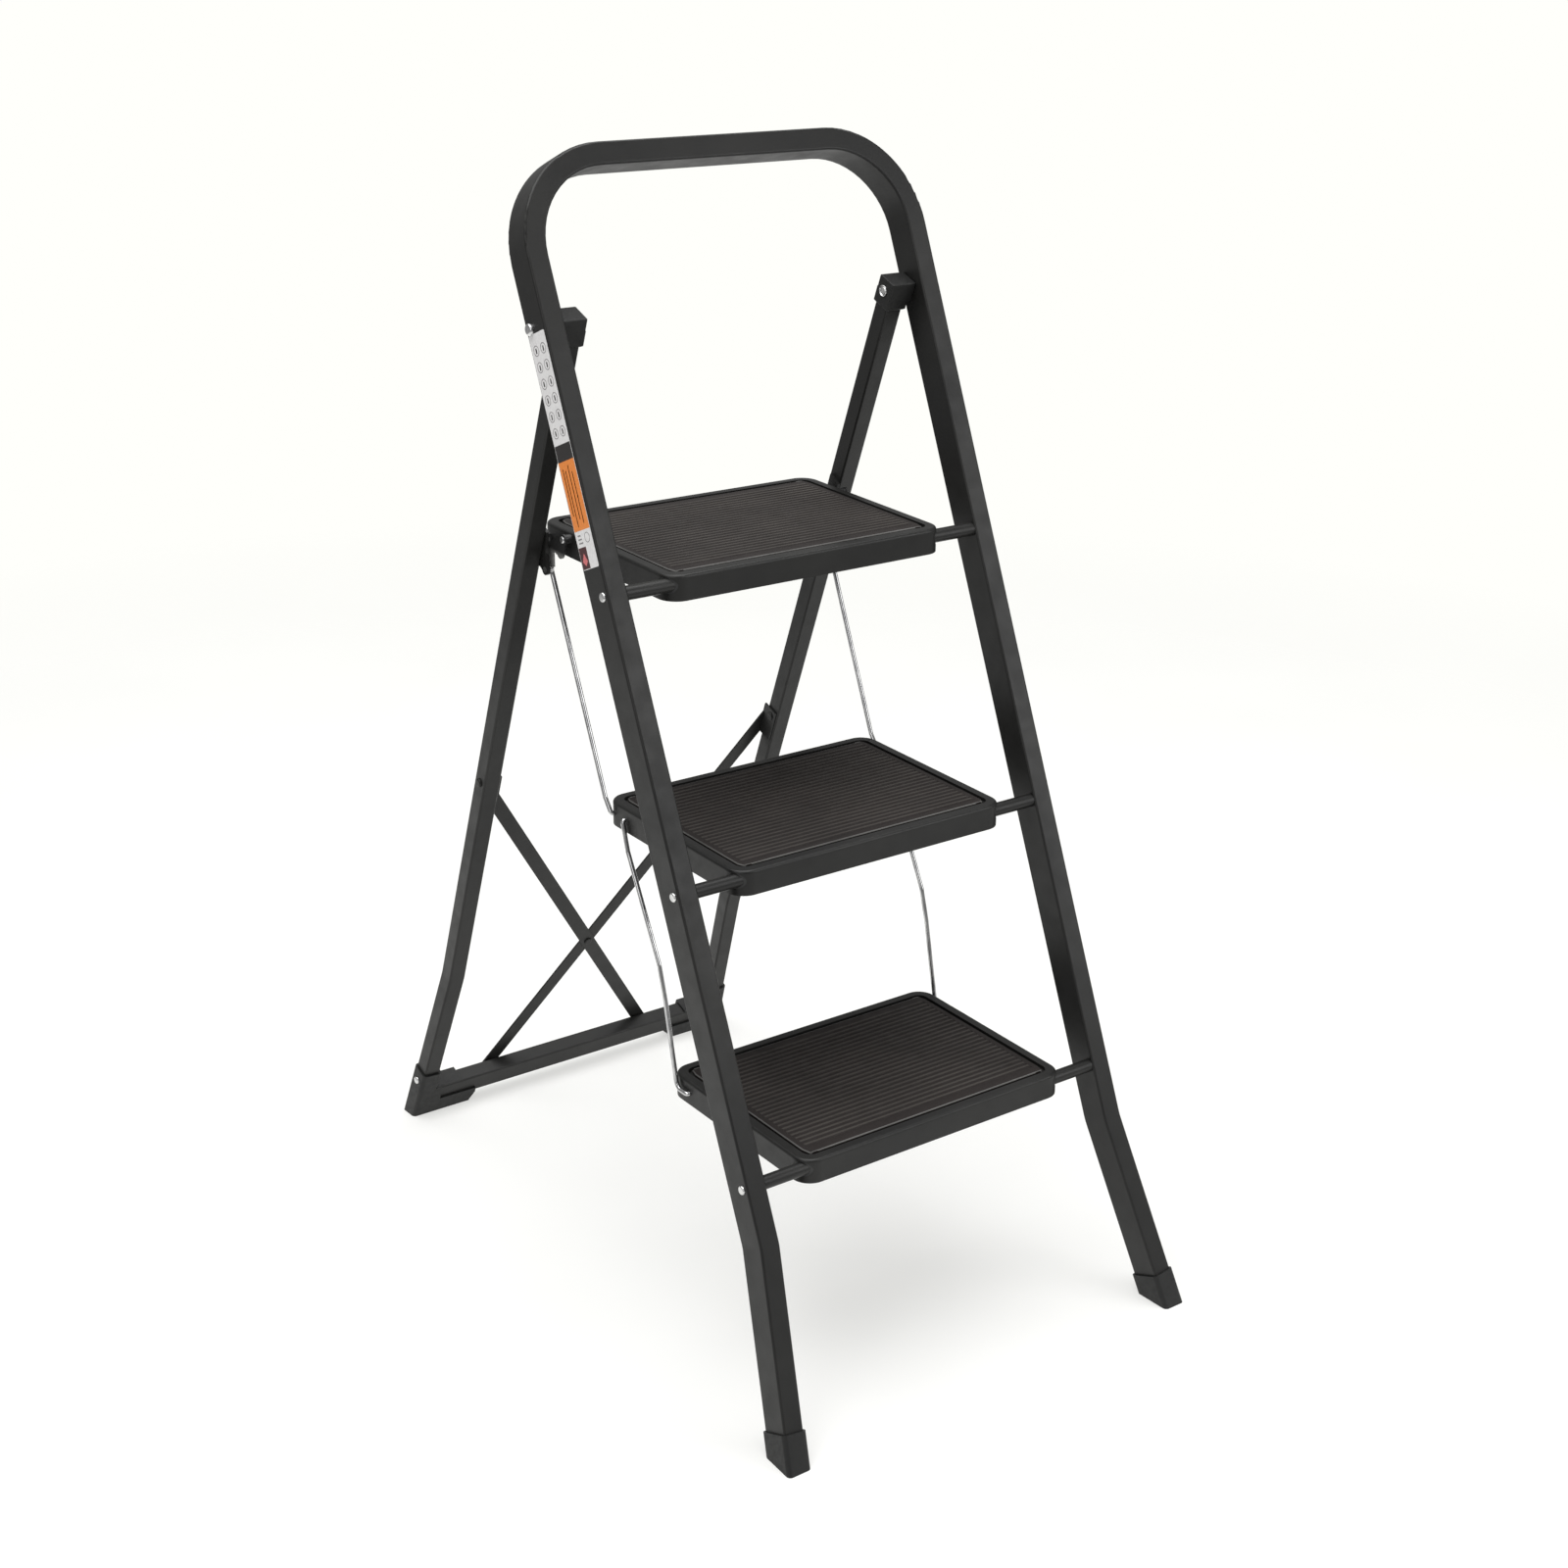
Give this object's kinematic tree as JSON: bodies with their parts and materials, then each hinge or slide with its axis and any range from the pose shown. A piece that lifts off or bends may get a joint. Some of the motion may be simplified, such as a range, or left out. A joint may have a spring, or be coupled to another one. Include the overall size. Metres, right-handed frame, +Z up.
{
  "type": "step stool",
  "caption": "Folding step stool with flat treads, a hooped hand rail, a hinged rear frame, linked steps and a latch that holds it open.",
  "frame": {"origin": "on the floor, under the middle of the whole open stool", "axes": "+X to the climber's right hand rail, +Y from the climbing side to the back, +Z up"},
  "size_m": [0.4704, 0.7782, 1.0517],
  "materials": {
    "black_paint": "satin powder coat",
    "black_plastic": "moulded, fine texture",
    "tread_rubber": "ribbed, matte",
    "bush_nylon": "moulded nylon",
    "zinc_steel": "bright zinc plate",
    "latch_steel": "dull zinc plate",
    "link_wire": "bright drawn wire",
    "label_film": "printed film"
  },
  "bodies": {
    "root": {"front_hoop": "black_paint", "front_foot_right": "black_plastic", "front_foot_left": "black_plastic", "top_pivot_rod": "black_paint", "middle_pivot_rod": "black_paint", "bottom_pivot_rod": "black_paint", "rail_rivets": "zinc_steel", "hinge_bolts": "zinc_steel", "hinge_nuts": "zinc_steel", "rail_label": "label_film"},
    "rear_frame": {"rear_leg_right": "black_paint", "rear_leg_left": "black_paint", "hinge_cap_right": "black_plastic", "hinge_cap_left": "black_plastic", "rear_crossbar": "black_paint", "rear_foot_right": "black_plastic", "rear_foot_left": "black_plastic", "rear_foot_bolts": "zinc_steel", "brace_strap_left": "black_paint", "brace_strap_right": "black_paint", "brace_centre_rivet": "black_paint", "brace_leg_rivets": "black_paint", "brace_bar_rivets": "black_paint", "latch_bracket_right": "black_paint", "latch_bracket_left": "black_paint", "latch_pins": "zinc_steel"},
    "step_top": {"top_step_pan": "black_paint", "top_step_mat": "tread_rubber", "top_step_bushes": "bush_nylon", "latch_hook_right": "latch_steel", "latch_hook_left": "latch_steel", "latch_hook_rivets": "zinc_steel", "latch_spacers": "bush_nylon"},
    "step_middle": {"middle_step_pan": "black_paint", "middle_step_mat": "tread_rubber", "middle_step_bushes": "bush_nylon"},
    "step_bottom": {"bottom_step_pan": "black_paint", "bottom_step_mat": "tread_rubber", "bottom_step_bushes": "bush_nylon"},
    "upper_links": {"upper_link_right": "link_wire", "upper_link_left": "link_wire"},
    "lower_links": {"lower_link_right": "link_wire", "lower_link_left": "link_wire"}
  },
  "joints": [
    {"name": "fold", "type": "hinge", "parent": "root", "child": "rear_frame", "pos_m": [0, 0.03463, 0.90887], "axis": [-1, 0, 0], "range_deg": [0, 40]},
    {"name": "top_step_tilt", "type": "hinge", "parent": "root", "child": "step_top", "pos_m": [0, -0.07241, 0.70406], "axis": [1, 0, 0], "range_deg": [0, 62]},
    {"name": "middle_step_tilt", "type": "hinge", "parent": "root", "child": "step_middle", "pos_m": [0, -0.17609, 0.46563], "axis": [1, 0, 0], "range_deg": [0, 62]},
    {"name": "bottom_step_tilt", "type": "hinge", "parent": "root", "child": "step_bottom", "pos_m": [0, -0.27976, 0.22719], "axis": [1, 0, 0], "range_deg": [0, 62]},
    {"name": "upper_links_turn", "type": "hinge", "parent": "step_top", "child": "upper_links", "pos_m": [0, 0.11959, 0.70256], "axis": [-1, 0, 0], "range_deg": [0, 62]},
    {"name": "lower_links_turn", "type": "hinge", "parent": "step_middle", "child": "lower_links", "pos_m": [0, -0.00309, 0.46413], "axis": [-1, 0, 0], "range_deg": [0, 62]}
  ],
  "couplings": [
    {"joint": "top_step_tilt", "follows": "fold", "ratio": 1.55},
    {"joint": "middle_step_tilt", "follows": "fold", "ratio": 1.55},
    {"joint": "bottom_step_tilt", "follows": "fold", "ratio": 1.55},
    {"joint": "upper_links_turn", "follows": "fold", "ratio": 1.55},
    {"joint": "lower_links_turn", "follows": "fold", "ratio": 1.55}
  ]
}
